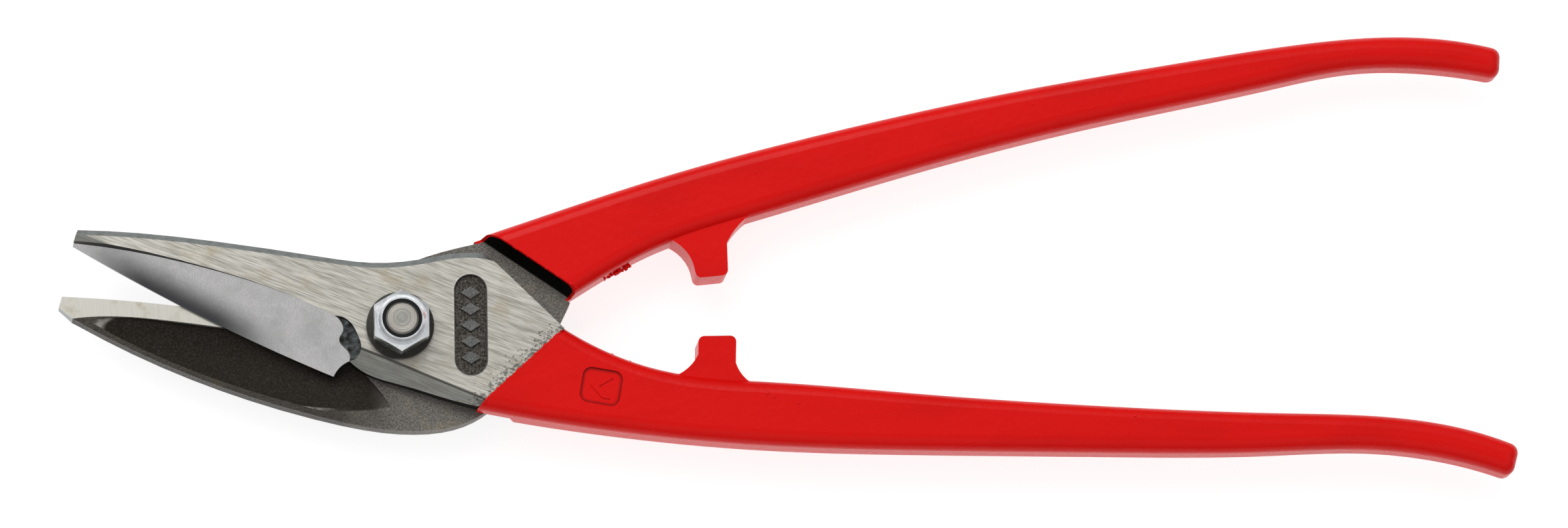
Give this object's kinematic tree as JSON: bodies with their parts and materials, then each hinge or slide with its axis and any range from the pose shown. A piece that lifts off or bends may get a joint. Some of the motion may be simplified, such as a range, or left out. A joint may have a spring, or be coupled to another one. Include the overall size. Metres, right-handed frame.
{
  "type": "tin snips",
  "caption": "Forged two-lever sheet-metal snips with a bolted pivot, ground blades, stop lugs and coated handles.",
  "frame": {"origin": "on the pivot axis, in the shear plane between the two levers", "axes": "+X along the handles, +Y from the lower handle to the upper one, +Z along the pivot bolt towards the nut"},
  "size_m": [0.2694, 0.0832, 0.022],
  "materials": {
    "brushed_forging": "brushed",
    "dark_forging": "grained forging",
    "ground_steel": "ground",
    "weld": "as welded",
    "turned_steel": "turned",
    "zinc": "zinc plated",
    "nylon": "matte",
    "black_oxide": "black oxide",
    "red_coat": "glossy dipped coating"
  },
  "bodies": {
    "front_half": {"front_lever": "brushed_forging", "upper_blade": "ground_steel", "upper_blade_weld": "weld", "pivot_bolt": "turned_steel", "pivot_nut": "zinc", "nut_insert": "nylon", "spring_washer": "black_oxide", "front_handle_coat": "red_coat"},
    "rear_half": {"rear_lever": "dark_forging", "lower_blade": "ground_steel", "lower_blade_weld": "weld", "rear_handle_coat": "red_coat"}
  },
  "joints": [
    {"name": "jaw_pivot", "type": "hinge", "parent": "front_half", "child": "rear_half", "pos_m": [0, 0, 0], "axis": [0, 0, 1], "range_deg": [-10, 35]}
  ]
}
